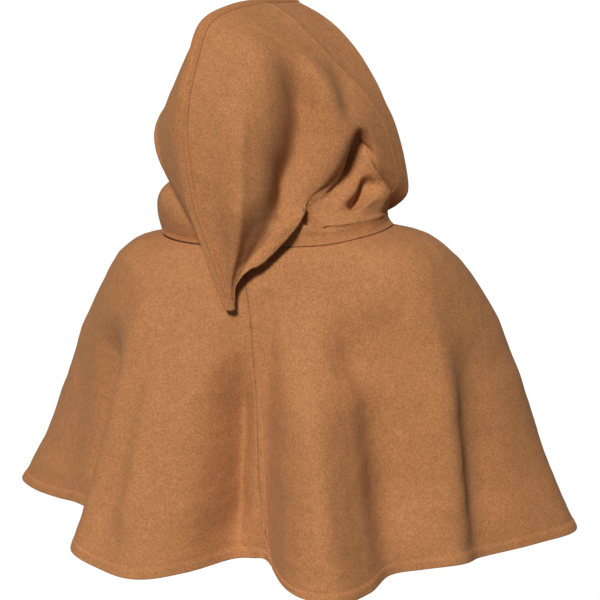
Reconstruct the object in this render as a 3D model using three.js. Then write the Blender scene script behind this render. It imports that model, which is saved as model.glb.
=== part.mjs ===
// A wool hood with a shoulder cape, in millimetres, +Z up. The wearer faces -Y and the wearer's left is +X.
// The hood is turned toward the wearer's right, and its long peak hangs down the back.
import * as THREE from 'three';

// Cloth
const wall = 2;
const seamGap = 0.3;
const layerGap = 0.4;
const foldReach = 16;

// Neck seam, where the hood joins the cape
const neckHalfWidth = 145;
const neckBackReach = 100;
const neckFrontReach = 95;
const neckFrontDrop = 25;
const neckSquareness = 2.4;

// Hood
const hoodHalfWidth = 127;
const hoodBackReach = 162;
const hoodHeight = 282;
const hoodTurn = 25;
const napeAngle = -8;
const creaseSpread = 16;
const collarHeight = 48;
const collarRoll = 24;
const rollSkew = 0.65;
const crownLength = 530;
const sideLength = 330;
const crownTopShare = 0.134;

// Cape
const capeSideReach = 374;
const capeBackReach = 262;
const capeFrontReach = 262;
const capeDrop = 385;
const capeLength = 455;
const capeSpread = 180;
const peakRest = 1.5;
const peakRestTop = -2;

// Hems and seams
const faceHemWidth = 28;
const capeHemWidth = 12;
const neckSeamWidth = 12;
const crownSeamWidth = 13;
const crownSeamRaise = 1.6;

// The crown seam from the face edge (at 0) to the tip of the peak (at 1). across is to the wearer's
// right, back is to the rear and up is above the neck seam, as shares of the hood's sizes.
const crownRows = [
  { at: 0, across: -0.244, back: -0.389, up: 0.979 },
  { at: 0.134, across: -0.205, back: 0.049, up: 1 },
  { at: 0.21, across: -0.228, back: 0.315, up: 0.993 },
  { at: 0.305, across: -0.228, back: 0.636, up: 0.943 },
  { at: 0.4, across: -0.173, back: 0.827, up: 0.798 },
  { at: 0.49, across: -0.142, back: 0.951, up: 0.638 },
  { at: 0.555, across: -0.118, back: 0.994, up: 0.514 },
  { at: 0.632, across: -0.071, back: 1, up: 0.372 },
  { at: 0.713, across: -0.008, back: 0.994, up: 0.223 },
  { at: 0.835, across: 0.15, back: 0.951, up: 0.014 },
  { at: 0.93, across: 0.268, back: 0.92, up: -0.142 },
  { at: 1, across: 0.354, back: 0.886, up: -0.241 },
];

// The widest line of each half. flat draws the cloth from the crown seam to it straighter.
const rightRows = [
  { at: 0, across: 1, back: -0.63, up: 0.206, flat: 1.05 },
  { at: 0.08, across: 1, back: -0.444, up: 0.284, flat: 1.15 },
  { at: 0.16, across: 0.976, back: -0.259, up: 0.376, flat: 1.2 },
  { at: 0.25, across: 0.921, back: -0.099, up: 0.44, flat: 1.15 },
  { at: 0.33, across: 0.843, back: 0.031, up: 0.355, flat: 1.12 },
  { at: 0.41, across: 0.764, back: 0.173, up: 0.277, flat: 1.12 },
  { at: 0.48, across: 0.709, back: 0.302, up: 0.22, flat: 1.12 },
  { at: 0.55, across: 0.756, back: 0.377, up: 0.149, flat: 1.12 },
  { at: 0.62, across: 0.717, back: 0.481, up: 0.085, flat: 1.12 },
  { at: 0.7, across: 0.646, back: 0.58, up: 0.021, flat: 1.12 },
  { at: 0.77, across: 0.567, back: 0.679, up: -0.035, flat: 1.12 },
  { at: 0.86, across: 0.457, back: 0.815, up: -0.092, flat: 1.1 },
  { at: 0.93, across: 0.402, back: 0.86, up: -0.145, flat: 1.05 },
  { at: 1, across: 0.398, back: 0.858, up: -0.234, flat: 1 },
];
const leftRows = [
  { at: 0, across: -0.976, back: -0.642, up: 0.234, flat: 1.1 },
  { at: 0.08, across: -0.961, back: -0.432, up: 0.337, flat: 1.2 },
  { at: 0.16, across: -0.929, back: -0.154, up: 0.426, flat: 1.4 },
  { at: 0.25, across: -0.866, back: 0.185, up: 0.482, flat: 1.6 },
  { at: 0.35, across: -0.772, back: 0.519, up: 0.518, flat: 1.7 },
  { at: 0.465, across: -0.654, back: 0.79, up: 0.457, flat: 1.6 },
  { at: 0.55, across: -0.52, back: 0.852, up: 0.34, flat: 1.4 },
  { at: 0.657, across: -0.315, back: 0.877, up: 0.213, flat: 1.3 },
  { at: 0.765, across: -0.063, back: 0.877, up: 0.071, flat: 1.15 },
  { at: 0.86, across: 0.094, back: 0.87, up: -0.05, flat: 1.05 },
  { at: 0.93, across: 0.205, back: 0.865, up: -0.138, flat: 1 },
  { at: 1, across: 0.311, back: 0.858, up: -0.234, flat: 1 },
];

// The under seam of the peak, from the nape to the tip.
const underRows = [
  { at: 0.59, across: 0.22, back: 0.586, up: 0.085 },
  { at: 0.64, across: 0.252, back: 0.617, up: 0.128 },
  { at: 0.7, across: 0.26, back: 0.667, up: 0.071 },
  { at: 0.77, across: 0.268, back: 0.716, up: 0 },
  { at: 0.86, across: 0.268, back: 0.778, up: -0.071 },
  { at: 0.93, across: 0.299, back: 0.815, up: -0.142 },
  { at: 1, across: 0.354, back: 0.83, up: -0.234 },
];

// The crease above the collar, by angle round the neck from the back toward the wearer's right. rise and
// roll are shares of the collar's height and roll, and tuck is a share of the neck's half width.
const creaseRows = [
  { at: -180, rise: 0.29, tuck: 0.055, roll: 0 },
  { at: -115, rise: 0.62, tuck: 0.083, roll: 0.15 },
  { at: -88, rise: 1.29, tuck: 0.124, roll: 0.66 },
  { at: -66, rise: 1.54, tuck: 0.166, roll: 1 },
  { at: -44, rise: 1.29, tuck: 0.124, roll: 0.66 },
  { at: -20, rise: 0.75, tuck: 0.055, roll: 0.12 },
  { at: 20, rise: 0.6, tuck: 0.02, roll: 0 },
  { at: 50, rise: 0.45, tuck: 0.02, roll: 0 },
  { at: 90, rise: 0.3, tuck: 0.06, roll: 0 },
  { at: 180, rise: 0.29, tuck: 0.055, roll: 0 },
];

// Folds of the hood. Each runs through three places: s is the share along the crown seam and t the share
// down the side. reach is a share of the fold reach, outward if positive. above and below are the widths
// of its two flanks, as shares of the side.
const rightFolds = [
  // The broad ridge beside the crown seam, the ridge of the peak, the long valley and its shallow end.
  { s: [0.26, 0.47, 0.8], t: [0.14, 0.22, 0.235], reach: 0.85, above: 0.075, below: 0.07 },
  { s: [0.62, 0.76, 0.93], t: [0.24, 0.25, 0.3], reach: 0.45, above: 0.06, below: 0.03 },
  { s: [0.25, 0.42, 0.64], t: [0.22, 0.355, 0.37], reach: -1.5, above: 0.055, below: 0.034 },
  { s: [0.52, 0.7, 0.86], t: [0.34, 0.36, 0.38], reach: -0.5, above: 0.05, below: 0.06 },
  // The outer ridge and the outer valley.
  { s: [0.2, 0.31, 0.42], t: [0.26, 0.385, 0.43], reach: 0.25, above: 0.035, below: 0.04 },
  { s: [0.11, 0.2, 0.28], t: [0.23, 0.325, 0.39], reach: -0.4, above: 0.04, below: 0.04 },
  // The lip of the peak, the pocket below it and the hollow that the pocket runs into.
  { s: [0.22, 0.33, 0.46], t: [0.39, 0.42, 0.46], reach: 0.4, above: 0.033, below: 0.02 },
  { s: [0.18, 0.25, 0.34], t: [0.41, 0.455, 0.51], reach: -1.5, above: 0.017, below: 0.034 },
  { s: [0.29, 0.36, 0.42], t: [0.48, 0.52, 0.56], reach: -0.5, above: 0.02, below: 0.035 },
  // The fullness of the cheek, its crease and its small ridge.
  { s: [0.2, 0.3, 0.4], t: [0.54, 0.6, 0.7], reach: 0.9, above: 0.08, below: 0.11 },
  { s: [0.27, 0.33, 0.38], t: [0.56, 0.62, 0.7], reach: -1.2, above: 0.03, below: 0.018 },
  { s: [0.24, 0.29, 0.32], t: [0.6, 0.66, 0.78], reach: 0.3, above: 0.03, below: 0.03 },
];
const leftFolds = [
  // The ridge to the corner, the valley behind the face, the ridge above the cheek and the crease
  // above the roll.
  { s: [0.32, 0.46, 0.6], t: [0.33, 0.4, 0.42], reach: 0.25, above: 0.04, below: 0.04 },
  { s: [0.14, 0.26, 0.42], t: [0.3, 0.42, 0.52], reach: -0.45, above: 0.055, below: 0.055 },
  { s: [0.08, 0.2, 0.32], t: [0.46, 0.56, 0.62], reach: 0.3, above: 0.045, below: 0.045 },
  { s: [0.22, 0.32, 0.4], t: [0.62, 0.68, 0.74], reach: -0.45, above: 0.04, below: 0.04 },
];

// Folds of the cape. Each starts and ends at a share of the way to the hem, and runs from the upper to
// the lower angle. before and after are the widths of its flanks, as shares of the cape's length.
const capeFolds = [
  { start: 0, end: 0.46, upper: 34, lower: 34, reach: -0.9, before: 0.06, after: 0.07 },
  { start: 0.3, end: 0.97, upper: -3, lower: -5, reach: -1.2, before: 0.06, after: 0.05 },
  { start: 0.3, end: 1, upper: -33, lower: -30, reach: 0.6, before: 0.05, after: 0.05 },
  { start: 0.3, end: 0.97, upper: -64, lower: -60, reach: -1.5, before: 0.1, after: 0.08 },
  { start: 0.3, end: 0.97, upper: 24, lower: 27, reach: 0.6, before: 0.06, after: 0.05 },
  { start: 0.15, end: 0.97, upper: 50, lower: 46, reach: -1, before: 0.06, after: 0.1 },
  { start: 0.3, end: 0.97, upper: 68, lower: 68, reach: 0.4, before: 0.06, after: 0.05 },
  { start: 0.3, end: 0.97, upper: 80, lower: 79, reach: -0.5, before: 0.05, after: 0.07 },
];

// How each fold grows in and dies out along its run.
const foldGrowsIn = [-0.1, 0.25];
const foldDiesOut = [0.75, 1.1];
const capeFoldGrowsIn = [0, 0.35];
const capeFoldDiesOut = [0.7, 1];

// The neck seam's height by angle, as a share of its drop at the front.
const neckRows = [
  { at: -180, up: -1 },
  { at: -120, up: -0.75 },
  { at: -80, up: -0.3 },
  { at: -45, up: -0.2 },
  { at: 0, up: 0 },
  { at: 45, up: 0.17 },
  { at: 65, up: 0.42 },
  { at: 82, up: 0.48 },
  { at: 98, up: 0.36 },
  { at: 135, up: -0.55 },
  { at: 180, up: -1 },
];

// The cape's fall from the neck seam (at 0) to the hem (at 1), as shares of its reach and its drop.
const fallRows = [
  { at: 0, rightOut: 0, leftOut: 0, sideDown: 0, backOut: 0, backDown: 0 },
  { at: 0.07, rightOut: 0.19, leftOut: 0.15, sideDown: 0.025, backOut: 0.09, backDown: 0.055 },
  { at: 0.15, rightOut: 0.34, leftOut: 0.28, sideDown: 0.09, backOut: 0.19, backDown: 0.13 },
  { at: 0.235, rightOut: 0.45, leftOut: 0.385, sideDown: 0.168, backOut: 0.29, backDown: 0.215 },
  { at: 0.315, rightOut: 0.53, leftOut: 0.47, sideDown: 0.25, backOut: 0.38, backDown: 0.295 },
  { at: 0.43, rightOut: 0.625, leftOut: 0.57, sideDown: 0.376, backOut: 0.5, backDown: 0.415 },
  { at: 0.57, rightOut: 0.72, leftOut: 0.67, sideDown: 0.54, backOut: 0.63, backDown: 0.56 },
  { at: 0.79, rightOut: 0.85, leftOut: 0.82, sideDown: 0.79, backOut: 0.83, backDown: 0.785 },
  { at: 1, rightOut: 1, leftOut: 1, sideDown: 1, backOut: 1, backDown: 1 },
];

// The hem's ridges and valleys, by angle from the back toward the wearer's right, as shares of the
// cape's plain reach at that angle and of its drop.
const hemRows = [
  { at: -180, reach: 1, drop: 1 },
  { at: -163, reach: 1.083, drop: 1.013 },
  { at: -145, reach: 0.919, drop: 0.997 },
  { at: -122, reach: 0.972, drop: 1 },
  { at: -98, reach: 1.024, drop: 0.992 },
  { at: -91, reach: 0.912, drop: 0.982 },
  { at: -84, reach: 0.793, drop: 0.969 },
  { at: -75, reach: 0.724, drop: 0.943 },
  { at: -63, reach: 0.701, drop: 0.945 },
  { at: -55, reach: 0.799, drop: 0.956 },
  { at: -47, reach: 0.941, drop: 0.974 },
  { at: -36.6, reach: 0.957, drop: 1.003 },
  { at: -23.4, reach: 0.963, drop: 1.003 },
  { at: -14, reach: 0.87, drop: 0.985 },
  { at: -5, reach: 0.7, drop: 0.977 },
  { at: 4, reach: 0.64, drop: 0.974 },
  { at: 12, reach: 0.67, drop: 0.98 },
  { at: 17.2, reach: 0.9, drop: 0.994 },
  { at: 27.6, reach: 1.034, drop: 1.005 },
  { at: 39, reach: 0.914, drop: 1.01 },
  { at: 48.5, reach: 0.784, drop: 0.995 },
  { at: 59, reach: 0.78, drop: 0.99 },
  { at: 66, reach: 0.83, drop: 0.98 },
  { at: 76, reach: 0.79, drop: 0.997 },
  { at: 89, reach: 0.915, drop: 0.992 },
  { at: 97.5, reach: 1.028, drop: 0.995 },
  { at: 112, reach: 0.987, drop: 0.997 },
  { at: 129, reach: 0.905, drop: 1.003 },
  { at: 146, reach: 0.924, drop: 0.997 },
  { at: 163, reach: 1.083, drop: 1.013 },
  { at: 180, reach: 1, drop: 1 },
];
const foldStart = 0.14;
const foldGrowth = 0.9;

// The back seam of the cape: its angle from the neck seam (at 0) to the hem (at 1).
const backSeamRows = [
  { at: 0, angle: -9 },
  { at: 0.1, angle: -4 },
  { at: 0.2, angle: 0 },
  { at: 0.45, angle: 4 },
  { at: 0.8, angle: 7.7 },
  { at: 0.93, angle: 10 },
  { at: 1, angle: 13 },
];
const backSeamPull = 55;

// How the halves are divided into facets
const widestShare = 0.44;
const creaseShare = 0.8;
const napeShare = 0.55;
const bagShare = 0.61;
const faceHemShare = faceHemWidth / crownLength;
const crownSeamShare = crownSeamWidth / 2 / sideLength;
const allowanceShare = 1 - ((1 - creaseShare) * neckSeamWidth) / collarHeight;
const capeHemShare = 1 - capeHemWidth / capeLength;
const hoodColumns = [
  { upTo: faceHemShare, steps: 1 },
  { upTo: 0.51, steps: 14 },
  { upTo: napeShare, steps: 1 },
  { upTo: 1, steps: 11 },
];
const hoodLines = [
  { upTo: crownSeamShare, steps: 1 },
  { upTo: widestShare, steps: 9 },
  { upTo: creaseShare, steps: 8 },
  { upTo: allowanceShare, steps: 4 },
  { upTo: 1, steps: 1 },
];
const capeLines = [
  { upTo: 0.34, steps: 5 },
  { upTo: capeHemShare, steps: 7 },
  { upTo: 1, steps: 1 },
];
const hemFacetAngle = 6;
const pathSteps = 24;

// Small shares and steps: those across which one direction eases into another, and those that measure
// the run of a surface.
const napeEase = 0.008;
const crownEase = crownSeamShare * 1.5;
const lowerEaseStart = 0.97;
const faceEase = 0.02;
const capeNeckEase = 0.03;
const seamStill = 0.06;
const edgeStillStart = 0.93;
const peakEaseEnd = 0.7;
const runStep = 0.004;
const runAngle = 0.5;
const edgeStep = 0.01;
const sameShare = 0.001;
const neckGapShare = (0.8 * seamGap) / capeLength;

const clamp = (x, low, high) => Math.min(high, Math.max(low, x));
const degrees = THREE.MathUtils.degToRad;
const ease = (from, to, x) => THREE.MathUtils.smoothstep(x, from, to);
const vec = (x, y, z) => new THREE.Vector3(x, y, z);
const mix = (a, b, share) => a.clone().lerp(b, share);

// A smooth curve through one column of a table's rows.
function rowsAt(rows, column, x) {
  const last = rows.length - 1;
  const place = clamp(x, rows[0].at, rows[last].at);
  let i = 0;
  while (i < last - 1 && place > rows[i + 1].at) {
    i += 1;
  }
  const slope = (k) => (rows[k + 1][column] - rows[k][column]) / (rows[k + 1].at - rows[k].at);
  const tangent = (k) => {
    if (k === 0) {
      return slope(0);
    }
    if (k === last) {
      return slope(last - 1);
    }
    const before = rows[k].at - rows[k - 1].at;
    const after = rows[k + 1].at - rows[k].at;
    return (slope(k - 1) * after + slope(k) * before) / (before + after);
  };
  const span = rows[i + 1].at - rows[i].at;
  const u = (place - rows[i].at) / span;
  const start = (1 + 2 * u) * (1 - u) ** 2 * rows[i][column] + u * (1 - u) ** 2 * span * tangent(i);
  const end = u * u * (3 - 2 * u) * rows[i + 1][column] + u * u * (u - 1) * span * tangent(i + 1);
  return start + end;
}

// Steps between the listed stops, from 0 to 1.
function stepsAlong(stops) {
  const values = [0];
  for (const stop of stops) {
    const from = values[values.length - 1];
    for (let k = 1; k <= stop.steps; k += 1) {
      values.push(from + ((stop.upTo - from) * k) / stop.steps);
    }
  }
  return values;
}

// Radius of a rounded outline at an angle from the back.
function ringRadius(angle, half, back, front, squareness) {
  const s = Math.abs(Math.sin(degrees(angle)));
  const c = Math.cos(degrees(angle));
  const depth = c >= 0 ? back : front;
  return ((s / half) ** squareness + (Math.abs(c) / depth) ** squareness) ** (-1 / squareness);
}

function aroundNeck(angle, radius, z) {
  return vec(-Math.sin(degrees(angle)) * radius, Math.cos(degrees(angle)) * radius, z);
}

function neckRadius(angle) {
  return ringRadius(angle, neckHalfWidth, neckBackReach, neckFrontReach, neckSquareness);
}

function neckHeight(angle) {
  return neckFrontDrop * rowsAt(neckRows, 'up', angle);
}

// How far the cape's folds move the cloth out at an angle and a share of the way to the hem.
function capeFoldHeight(angle, v) {
  let height = 0;
  for (const fold of capeFolds) {
    const along = (v - fold.start) / (fold.end - fold.start);
    const off = angle - (fold.upper + (fold.lower - fold.upper) * clamp(along, 0, 1));
    const across = degrees(off) * (neckHalfWidth + capeSpread * v);
    const width = (off > 0 ? fold.after : fold.before) * capeLength;
    const fade = ease(...capeFoldGrowsIn, along) * (1 - ease(...capeFoldDiesOut, along));
    height += fold.reach * foldReach * fade * Math.exp(-((across / width) ** 2));
  }
  return height;
}

// The cape's outer face at an angle and a share of the way to the hem.
function capePoint(angle, v) {
  const plain = ringRadius(angle, capeSideReach, capeBackReach, capeFrontReach, 2);
  const sideways = Math.sin(degrees(angle)) ** 2;
  const sideOut = rowsAt(fallRows, angle > 0 ? 'rightOut' : 'leftOut', v);
  const out = sideways * sideOut + (1 - sideways) * rowsAt(fallRows, 'backOut', v);
  const down = sideways * rowsAt(fallRows, 'sideDown', v) + (1 - sideways) * rowsAt(fallRows, 'backDown', v);
  const grown = clamp((v - foldStart) / (1 - foldStart), 0, 1) ** foldGrowth;
  const fold = plain * (rowsAt(hemRows, 'reach', angle) - 1) * grown + capeFoldHeight(angle, v);
  const radius = neckRadius(angle) + (plain - neckRadius(angle)) * out + fold;
  const hemHeight = -capeDrop * rowsAt(hemRows, 'drop', angle);
  return aroundNeck(angle, radius, neckHeight(angle) + (hemHeight - neckHeight(angle)) * down);
}

// The cape's radius where it passes a height.
function capeRadiusAt(angle, z) {
  let low = 0;
  let high = 1;
  for (let k = 0; k < 12; k += 1) {
    const middle = (low + high) / 2;
    if (capePoint(angle, middle).z > z) {
      low = middle;
    } else {
      high = middle;
    }
  }
  const point = capePoint(angle, (low + high) / 2);
  return Math.hypot(point.x, point.y);
}

// A place in the turned hood: across to the wearer's right, back to the rear, and up.
function inHood(across, back, up) {
  const s = Math.sin(degrees(hoodTurn));
  const c = Math.cos(degrees(hoodTurn));
  return vec(-c * across + s * back, s * across + c * back, up);
}

function hoodPlace({ across, back, up }) {
  return inHood(across * hoodHalfWidth, back * hoodBackReach, up * hoodHeight);
}

function hoodRow(rows, s) {
  const [across, back, up] = ['across', 'back', 'up'].map((column) => rowsAt(rows, column, s));
  return hoodPlace({ across, back, up });
}

function neckAngle(s, side) {
  return side * 180 + (napeAngle - side * 180) * clamp(s / napeShare, 0, 1);
}

// The crease of each half stops short of the nape, where the under seam of the peak rises.
function creaseAngle(s, side) {
  return side * 180 + (napeAngle + side * (creaseSpread - 180)) * clamp(s / napeShare, 0, 1);
}

const napePoint = aroundNeck(napeAngle, neckRadius(napeAngle), neckHeight(napeAngle));
const underPlaces = underRows.map((row) => ({ at: row.at, point: hoodPlace(row) }));
const underCurve = [{ at: napeShare, point: napePoint }, ...underPlaces];
const underPoints = underCurve.map(({ at, point }) => ({ at, x: point.x, y: point.y, z: point.z }));

function underSeam(s) {
  return vec(rowsAt(underPoints, 'x', s), rowsAt(underPoints, 'y', s), rowsAt(underPoints, 'z', s));
}

// A quarter round from one place to another that leaves along the first direction.
function quarter(from, to, along, share, flat) {
  const path = to.clone().sub(from);
  const first = along.clone().multiplyScalar(path.dot(along));
  const rest = path.sub(first);
  const angle = (Math.PI / 2) * clamp(share, 0, 1);
  return from.clone()
    .addScaledVector(first, Math.sin(angle) ** flat)
    .addScaledVector(rest, 1 - Math.max(0, Math.cos(angle)) ** flat);
}

// The hood's outer face before its folds. s runs along the crown seam and t down the side.
function plainHood(s, t, side) {
  const rows = side > 0 ? rightRows : leftRows;
  const crown = hoodRow(crownRows, s);
  const widest = hoodRow(rows, s);
  const sideways = inHood(side, 0, 0);
  if (t <= widestShare) {
    return quarter(crown, widest, sideways, t / widestShare, rowsAt(rows, 'flat', s));
  }
  const path = widest.clone().sub(crown);
  const onward = path.addScaledVector(sideways, -path.dot(sideways)).normalize();
  const seamAngle = neckAngle(s, side);
  const onNeck = aroundNeck(seamAngle, neckRadius(seamAngle), neckHeight(seamAngle));
  const lowest = s > napeShare ? underSeam(s) : onNeck;
  const angle = creaseAngle(s, side);
  const rise = rowsAt(creaseRows, 'rise', angle) * collarHeight;
  const tuck = rowsAt(creaseRows, 'tuck', angle) * neckHalfWidth;
  const crease = aroundNeck(angle, neckRadius(angle) - tuck, neckHeight(angle) + rise)
    .add(lowest).sub(onNeck);
  const bag = ease(napeShare, bagShare, s);
  const under = quarter(widest, lowest, onward, (t - widestShare) / (1 - widestShare), 1);
  if (bag >= 1) {
    return under;
  }
  let collar;
  if (t <= creaseShare) {
    collar = quarter(widest, crease, onward, (t - widestShare) / (creaseShare - widestShare), 1);
  } else {
    const share = (t - creaseShare) / (1 - creaseShare);
    const roll = rowsAt(creaseRows, 'roll', angle) * collarRoll * Math.sin(Math.PI * share ** rollSkew);
    collar = mix(crease, lowest, share).add(aroundNeck(angle, roll, 0));
  }
  return mix(collar, under, bag);
}

// Outward direction of a surface, from its two runs.
function outwardAt(surface, s, t, side) {
  const alongS = surface(Math.min(1, s + runStep), t).sub(surface(Math.max(0, s - runStep), t));
  const alongT = surface(s, Math.min(1, t + runStep)).sub(surface(s, Math.max(0, t - runStep)));
  return alongS.cross(alongT).multiplyScalar(side).normalize();
}

function middlePath(ends, share) {
  const [a, b, c] = ends;
  const lead = 2 * b - (a + c) / 2;
  return (1 - share) ** 2 * a + 2 * share * (1 - share) * lead + share ** 2 * c;
}

// How far the folds move the cloth out at one place.
function foldHeight(folds, s, t) {
  let height = 0;
  for (const fold of folds) {
    let nearest = Infinity;
    let share = 0;
    let width = fold.above;
    for (let k = 0; k <= pathSteps; k += 1) {
      const pathT = middlePath(fold.t, k / pathSteps);
      const along = (s - middlePath(fold.s, k / pathSteps)) * crownLength;
      const distance = Math.hypot(along, (t - pathT) * sideLength);
      if (distance < nearest) {
        nearest = distance;
        share = k / pathSteps;
        width = t > pathT ? fold.below : fold.above;
      }
    }
    const fade = ease(...foldGrowsIn, share) * (1 - ease(...foldDiesOut, share));
    height += fold.reach * foldReach * fade * Math.exp(-((nearest / (width * sideLength)) ** 2));
  }
  return height;
}

// The peak lies on the cape and never inside it.
function restOnCape(point, s) {
  const share = ease(napeShare, peakEaseEnd, s);
  if (share <= 0 || point.z > peakRestTop) {
    return point;
  }
  const angle = THREE.MathUtils.radToDeg(Math.atan2(-point.x, point.y));
  const radius = Math.hypot(point.x, point.y);
  const least = capeRadiusAt(angle, point.z) + peakRest;
  if (radius >= least) {
    return point;
  }
  return aroundNeck(angle, radius + (least - radius) * share, point.z);
}

function hoodSurface(side) {
  const folds = side > 0 ? rightFolds : leftFolds;
  const plain = (s, t) => plainHood(s, t, side);
  return (s, t) => {
    const still = ease(0, seamStill, t) * (1 - ease(edgeStillStart, 1, t));
    const height = still * foldHeight(folds, s, t);
    const point = plain(s, t).addScaledVector(outwardAt(plain, s, t, side), height);
    return restOnCape(point, s);
  };
}

const hoodRight = hoodSurface(1);
const hoodLeft = hoodSurface(-1);

// The direction in which the walls of both halves are mitred where they meet.
function crownMitre(s) {
  return outwardAt(hoodRight, s, 0, 1).add(outwardAt(hoodLeft, s, 0, -1)).normalize();
}

function underMitre(s) {
  return outwardAt(hoodRight, s, 1, 1).add(outwardAt(hoodLeft, s, 1, -1)).normalize();
}

function neckMitre(angle) {
  return aroundNeck(angle, 1, 1).normalize();
}

function hoodOutward(surface, s, t, side) {
  const own = outwardAt(surface, s, t, side);
  const atCrown = 1 - ease(0, crownEase, t);
  const atEdge = ease(lowerEaseStart, 1, t);
  const edge = s > napeShare + sameShare ? underMitre(s) : neckMitre(neckAngle(s, side));
  const front = 1 - ease(0, faceEase, s);
  own.lerp(crownMitre(s), atCrown).normalize();
  own.lerp(edge, atEdge).normalize();
  if (front > 0 && t > creaseShare) {
    const straight = vec(0, own.y, own.z).normalize();
    own.lerp(straight, front * ease(creaseShare, 1, t)).normalize();
  }
  return own;
}

// A closed sheet between two faces, each a grid of places, with its four edges.
function sheetGeometry(outer, inner) {
  const rows = outer.length;
  const columns = outer[0].length;
  const positions = [];
  for (const grid of [outer, inner]) {
    for (const row of grid) {
      for (const point of row) {
        positions.push(point.x, point.y, point.z);
      }
    }
  }
  const index = [];
  const at = (face, i, j) => face * rows * columns + i * columns + j;
  const quad = (a, b, c, d) => index.push(a, b, c, a, c, d);
  for (let i = 0; i < rows - 1; i += 1) {
    for (let j = 0; j < columns - 1; j += 1) {
      quad(at(0, i, j), at(0, i + 1, j), at(0, i + 1, j + 1), at(0, i, j + 1));
      quad(at(1, i, j), at(1, i, j + 1), at(1, i + 1, j + 1), at(1, i + 1, j));
    }
  }
  for (let i = 0; i < rows - 1; i += 1) {
    quad(at(0, i, 0), at(1, i, 0), at(1, i + 1, 0), at(0, i + 1, 0));
    quad(at(0, i + 1, columns - 1), at(1, i + 1, columns - 1), at(1, i, columns - 1), at(0, i, columns - 1));
  }
  for (let j = 0; j < columns - 1; j += 1) {
    quad(at(0, 0, j + 1), at(1, 0, j + 1), at(1, 0, j), at(0, 0, j));
    quad(at(0, rows - 1, j), at(1, rows - 1, j), at(1, rows - 1, j + 1), at(0, rows - 1, j + 1));
  }
  const geometry = new THREE.BufferGeometry();
  geometry.setAttribute('position', new THREE.Float32BufferAttribute(positions, 3));
  geometry.setIndex(index);
  return geometry;
}

const camelWool = new THREE.MeshStandardMaterial({ color: 0xb2784b, roughness: 0.95, metalness: 0 });
const seamWool = new THREE.MeshStandardMaterial({ color: 0xa56e43, roughness: 0.95, metalness: 0 });

const hood = new THREE.Group();
const placed = new THREE.Group();
hood.add(placed);

function addSheet(name, outer, inner, material, flipped) {
  const faces = flipped ? [inner, outer] : [outer, inner];
  const mesh = new THREE.Mesh(sheetGeometry(...faces), material);
  mesh.name = name;
  placed.add(mesh);
}

// One layer of cloth on a grid of places with outward directions, between two depths below them.
function addLayer(name, grid, from, to, material, flipped) {
  const face = (depth) => grid.map((row) => row.map((cell) => (
    cell.point.clone().addScaledVector(cell.outward, -depth)
  )));
  addSheet(name, face(from), face(to), material, flipped);
}

// A place on the cloth's edge, drawn back from the seam by half of its gap.
function drawnBack(edge, inside) {
  return inside.clone().sub(edge).setLength(seamGap / 2).add(edge);
}

function hoodEdge(surface, s, t) {
  const point = surface(s, t);
  if (t === 0 || t === 1) {
    return drawnBack(point, surface(s, t === 0 ? edgeStep : 1 - edgeStep));
  }
  if (s === 0 && t > creaseShare - edgeStep) {
    return drawnBack(point, surface(edgeStep, t));
  }
  return point;
}

function hoodGrid(side, sShares, tShares) {
  const surface = side > 0 ? hoodRight : hoodLeft;
  return sShares.map((s) => tShares.map((t) => (
    { point: hoodEdge(surface, s, t), outward: hoodOutward(surface, s, t, side) }
  )));
}

const sShares = stepsAlong(hoodColumns);
const tShares = stepsAlong(hoodLines);
const innerLayer = [wall + layerGap, 2 * wall + layerGap];

for (const [sideName, side] of [['right', 1], ['left', -1]]) {
  const flipped = side < 0;
  addLayer(`hood_${sideName}`, hoodGrid(side, sShares, tShares), 0, wall, camelWool, flipped);
  const hemLines = tShares.filter((t) => t <= creaseShare + sameShare);
  const hemGrid = hoodGrid(side, [0, faceHemShare], hemLines);
  addLayer(`face_hem_${sideName}`, hemGrid, ...innerLayer, camelWool, flipped);
}

// The cape's facets follow its hem rows, and its columns lean with the back seam.
function capeAngles(side) {
  const seam = backSeamRows[backSeamRows.length - 1].angle;
  const stops = [seam, ...hemRows.map((row) => row.at).filter((at) => side * (at - seam) > 1)];
  if (side < 0) {
    stops.sort((a, b) => b - a);
  }
  const angles = [stops[0]];
  for (let k = 1; k < stops.length; k += 1) {
    const steps = Math.ceil(Math.abs(stops[k] - stops[k - 1]) / hemFacetAngle);
    for (let step = 1; step <= steps; step += 1) {
      angles.push(stops[k - 1] + ((stops[k] - stops[k - 1]) * step) / steps);
    }
  }
  return angles;
}

function leanedAngle(hemAngle, v) {
  const seam = backSeamRows[backSeamRows.length - 1].angle;
  const pull = 1 - ease(0, backSeamPull, Math.abs(hemAngle - seam));
  return hemAngle + (rowsAt(backSeamRows, 'angle', v) - seam) * pull;
}

function capeOutward(angle, v) {
  const around = capePoint(angle + runAngle, v).sub(capePoint(angle - runAngle, v));
  const down = capePoint(angle, Math.min(1, v + runStep)).sub(capePoint(angle, Math.max(0, v - runStep)));
  return down.cross(around).normalize();
}

function capeGrid(side, angles, vShares) {
  return angles.map((hemAngle, i) => vShares.map((v) => {
    const shift = Math.max(v, neckGapShare);
    const angle = leanedAngle(hemAngle, v);
    const point = capePoint(angle, shift);
    const radius = Math.hypot(point.x, point.y);
    const inset = THREE.MathUtils.radToDeg(seamGap / 2 / radius) * side;
    if (i === 0) {
      point.copy(capePoint(angle + inset, shift));
    }
    if (i === angles.length - 1) {
      point.copy(capePoint(angle - inset, shift));
    }
    const outward = capeOutward(angle, v).lerp(neckMitre(angle), 1 - ease(0, capeNeckEase, v)).normalize();
    return { point, outward };
  }));
}

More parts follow.
